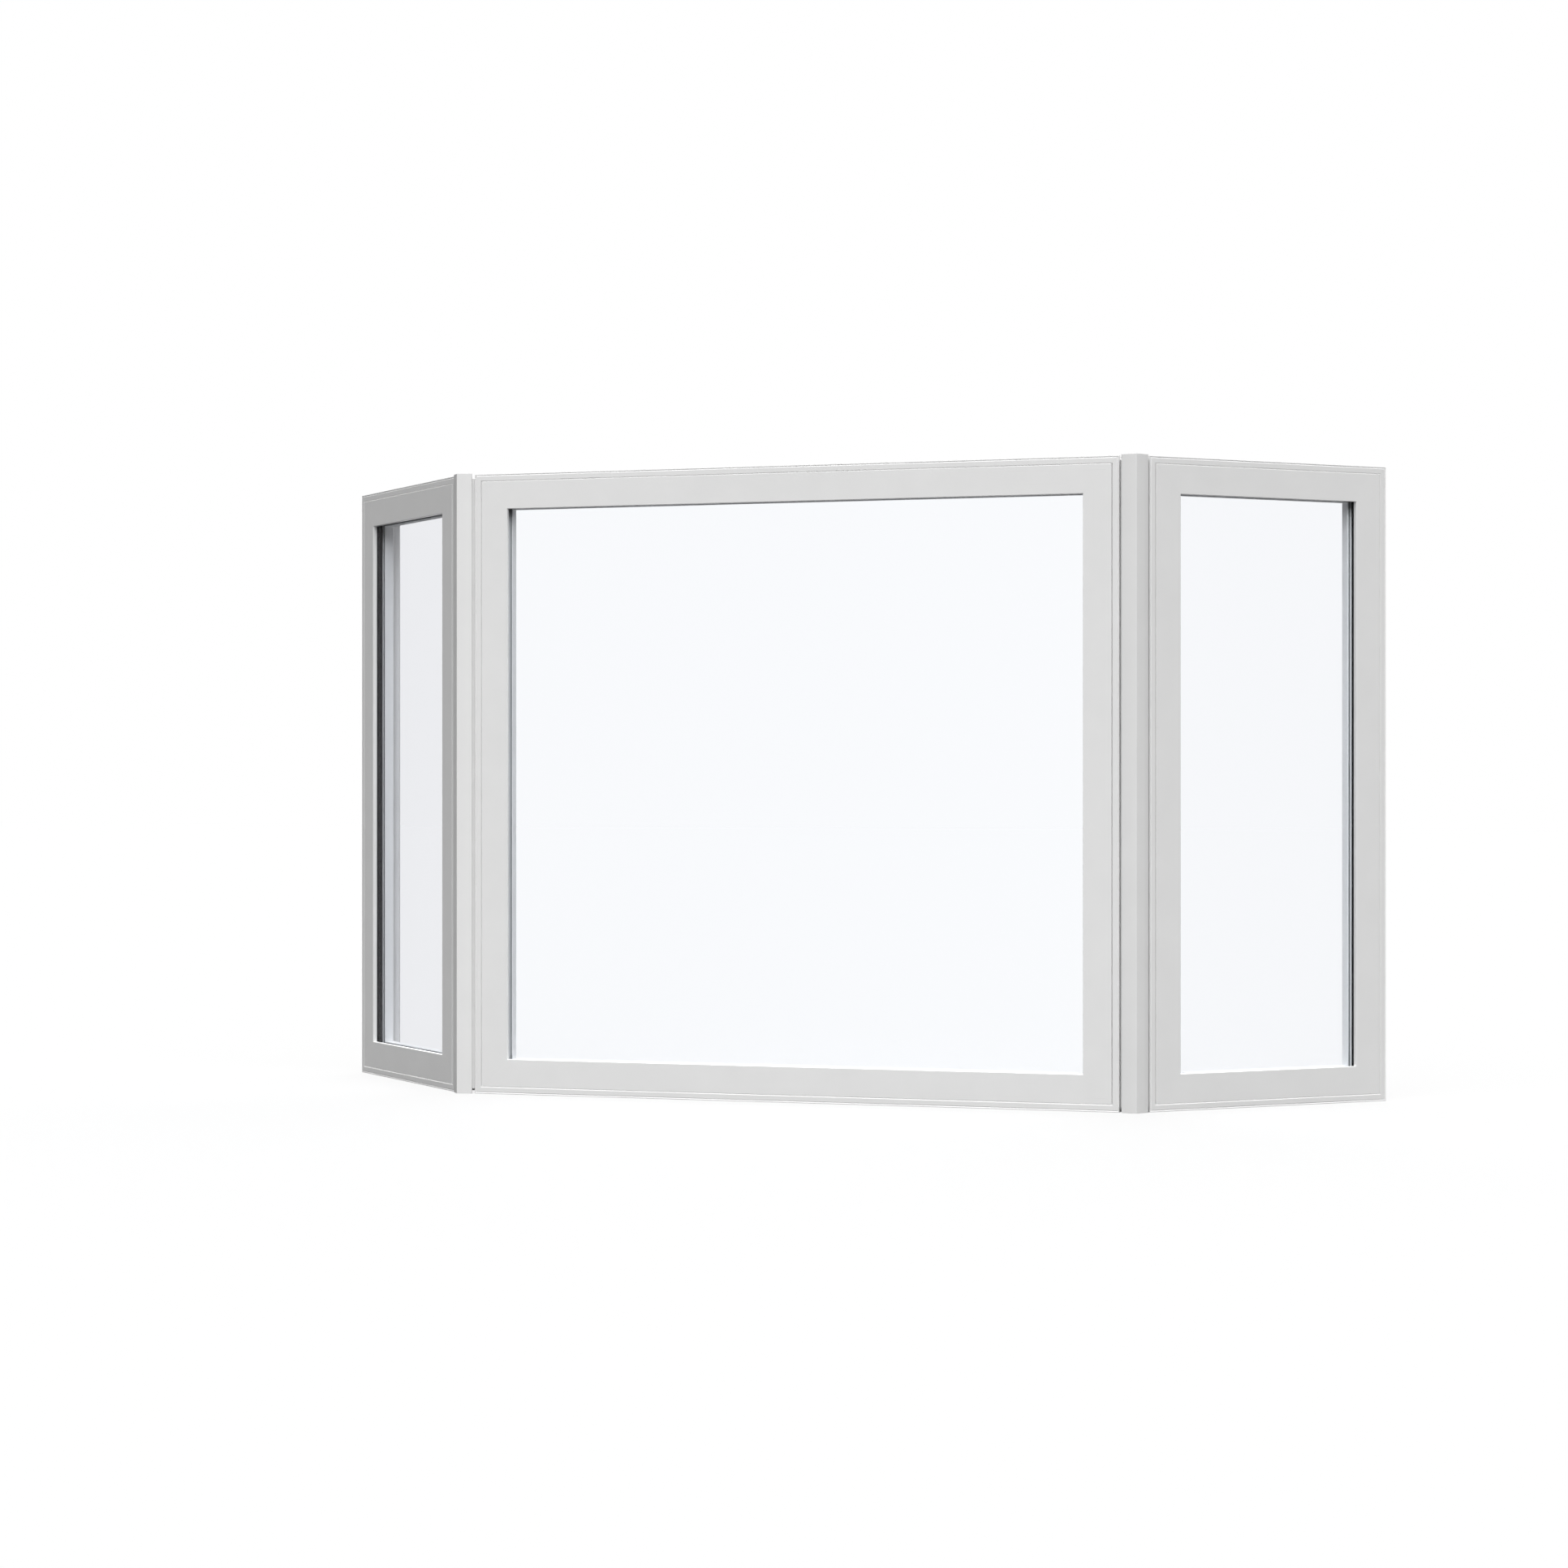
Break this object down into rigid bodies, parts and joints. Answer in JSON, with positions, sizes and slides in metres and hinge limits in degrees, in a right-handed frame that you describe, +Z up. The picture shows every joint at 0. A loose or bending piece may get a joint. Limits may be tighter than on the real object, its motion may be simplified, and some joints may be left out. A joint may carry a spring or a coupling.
{
  "type": "three-sided bay window",
  "caption": "White bay window: a wide fixed unit between two narrower casements turned back at 45 degrees, with ridged corner posts and sealed double glazing.",
  "frame": {"origin": "centre of the window's box in plan, at the underside of the frames", "axes": "+X along the centre unit, +Y from outside into the room, +Z up"},
  "size_m": [2.1268, 0.4534, 1.202],
  "materials": {
    "frame_white": "smooth satin white window profile",
    "sash_white": "smooth satin white window profile",
    "post_white": "smooth satin white cover profile",
    "clear_glass": "clear float glass with a faint cool tint",
    "black_spacer": "matt black warm-edge spacer",
    "grey_rubber": "matt dark grey extruded rubber",
    "handle_white": "white powder coat"
  },
  "bodies": {
    "root": {"left_frame_head": "frame_white", "left_frame_sill": "frame_white", "left_frame_left_jamb": "frame_white", "left_frame_right_jamb": "frame_white", "left_sash_top_rail": "sash_white", "left_sash_bottom_rail": "sash_white", "left_sash_left_stile": "sash_white", "left_sash_right_stile": "sash_white", "left_glass_panes": "clear_glass", "left_spacer_bar": "black_spacer", "left_gaskets": "grey_rubber", "left_glazing_beads": "sash_white", "centre_frame_head": "frame_white", "centre_frame_sill": "frame_white", "centre_frame_left_jamb": "frame_white", "centre_frame_right_jamb": "frame_white", "centre_sash_top_rail": "sash_white", "centre_sash_bottom_rail": "sash_white", "centre_sash_left_stile": "sash_white", "centre_sash_right_stile": "sash_white", "centre_glass_panes": "clear_glass", "centre_spacer_bar": "black_spacer", "centre_gaskets": "grey_rubber", "centre_glazing_beads": "sash_white", "right_frame_head": "frame_white", "right_frame_sill": "frame_white", "right_frame_left_jamb": "frame_white", "right_frame_right_jamb": "frame_white", "right_sash_top_rail": "sash_white", "right_sash_bottom_rail": "sash_white", "right_sash_left_stile": "sash_white", "right_sash_right_stile": "sash_white", "right_glass_panes": "clear_glass", "right_spacer_bar": "black_spacer", "right_gaskets": "grey_rubber", "right_glazing_beads": "sash_white", "left_post_cover": "post_white", "left_post_core": "post_white", "left_post_inner_trim": "post_white", "left_handle": "handle_white", "right_post_cover": "post_white", "right_post_core": "post_white", "right_post_inner_trim": "post_white", "right_handle": "handle_white"}
  },
  "joints": []
}
